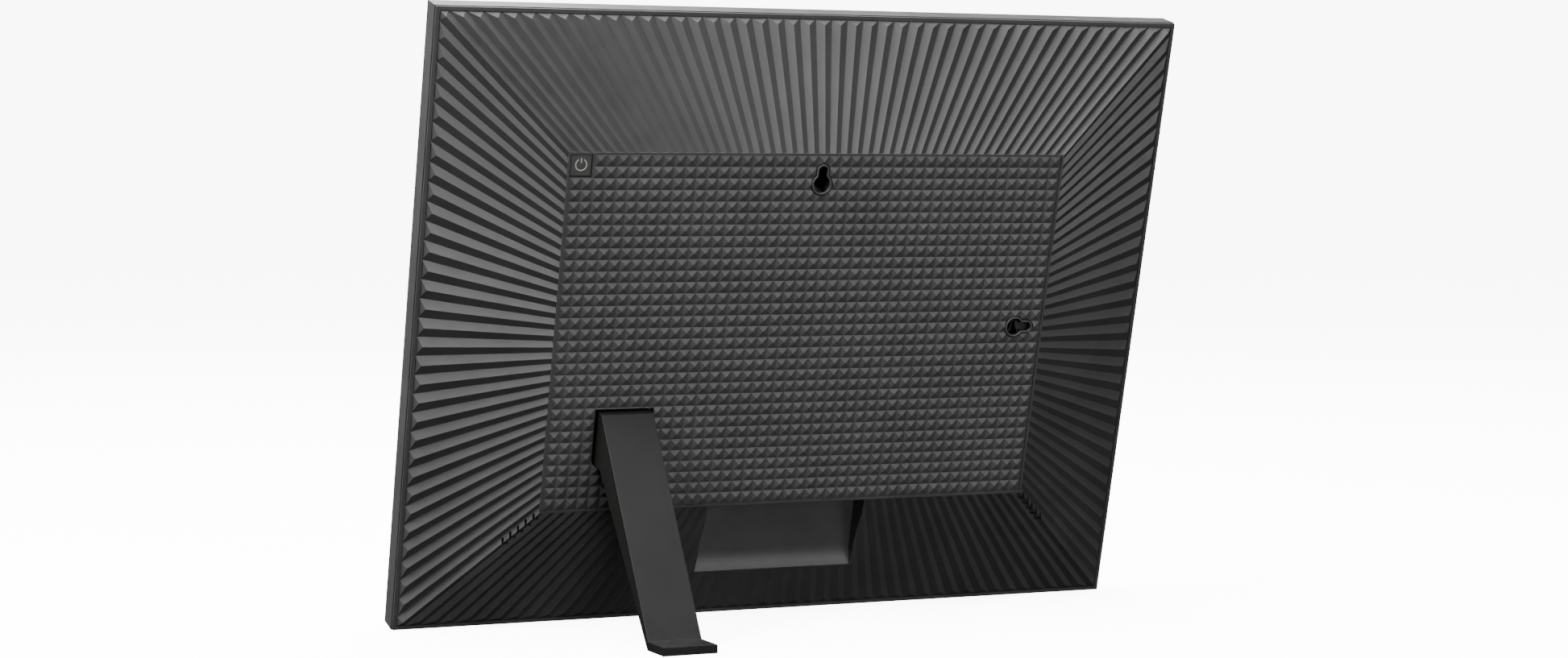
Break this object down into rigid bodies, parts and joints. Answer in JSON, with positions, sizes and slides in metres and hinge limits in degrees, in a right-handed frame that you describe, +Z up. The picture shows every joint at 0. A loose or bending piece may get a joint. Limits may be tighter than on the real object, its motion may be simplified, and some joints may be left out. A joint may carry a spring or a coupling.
{
  "type": "digital photo frame",
  "caption": "Landscape digital photo frame with a ribbed, raised back, keyholes, cable recess, power button and a plug-in leg that leans it back on a table.",
  "frame": {"origin": "on the table, under the middle of the bounding box of the leaning frame and its leg", "axes": "+Z up; +X to the right as seen from the screen side; -Y is the way the screen faces, +Y is towards the leg"},
  "size_m": [0.235, 0.0876, 0.1817],
  "materials": {
    "bezel_plastic": "satin black moulded",
    "window_acrylic": "clear polished acrylic",
    "foam": "closed-cell foam",
    "display_glass": "dark polariser",
    "light_guide": "white satin",
    "sheet_steel": "zinc plated",
    "board_green": "solder mask",
    "chip_black": "moulded epoxy",
    "shield_tin": "tin plated",
    "ferrite": "matte",
    "can_aluminium": "drawn",
    "connector_nylon": "natural nylon",
    "flex_film": "amber film",
    "jack_plastic": "black nylon",
    "contact_brass": "plated",
    "speaker_black": "black",
    "wire_jacket": "soft jacket",
    "cover_plastic": "fine satin texture",
    "panel_plastic": "fine satin texture",
    "adhesive_tape": "double-sided tape",
    "cup_plastic": "satin",
    "button_plastic": "satin",
    "symbol_white": "white ink",
    "switch_black": "black",
    "socket_plastic": "satin",
    "leg_plastic": "satin",
    "pad_rubber": "matte",
    "screw_steel": "zinc plated"
  },
  "bodies": {
    "frame": {"front_bezel": "bezel_plastic", "cover_window": "window_acrylic", "display_gasket": "foam", "lcd_cell": "display_glass", "backlight_unit": "light_guide", "chassis_plate": "sheet_steel", "main_board": "board_green", "processor": "chip_black", "shield_can": "shield_tin", "memory_chips": "chip_black", "power_inductor": "ferrite", "capacitors": "can_aluminium", "board_connectors": "connector_nylon", "display_flex": "flex_film", "power_jack": "jack_plastic", "power_jack_pin": "contact_brass", "data_port": "shield_tin", "card_slot": "shield_tin", "speaker_left": "speaker_black", "speaker_right": "speaker_black", "speaker_seal_left": "foam", "speaker_seal_right": "foam", "speaker_wire_left": "wire_jacket", "speaker_wire_right": "wire_jacket", "button_wire": "wire_jacket", "rear_cover": "cover_plastic", "rear_panel": "panel_plastic", "panel_adhesive": "adhesive_tape", "keyhole_cup_top": "cup_plastic", "keyhole_cup_side": "cup_plastic", "button_board": "board_green", "tact_switch": "switch_black", "button_board_posts": "sheet_steel", "stand_socket": "socket_plastic", "board_screws": "screw_steel", "cover_screws": "screw_steel"},
    "leg": {"stand_leg": "leg_plastic", "foot_pad": "pad_rubber"},
    "button": {"power_button": "button_plastic", "power_symbol": "symbol_white"}
  },
  "joints": [
    {"name": "leg_unplug", "type": "slide", "parent": "frame", "child": "leg", "axis": [0, 0.9671, -0.2544], "range_m": [0, 0.012]},
    {"name": "power_press", "type": "slide", "parent": "frame", "child": "button", "axis": [0, -0.9671, 0.2544], "range_m": [0, 0.0005], "stiffness_N_per_m": 800, "springref_m": -0.0002}
  ]
}
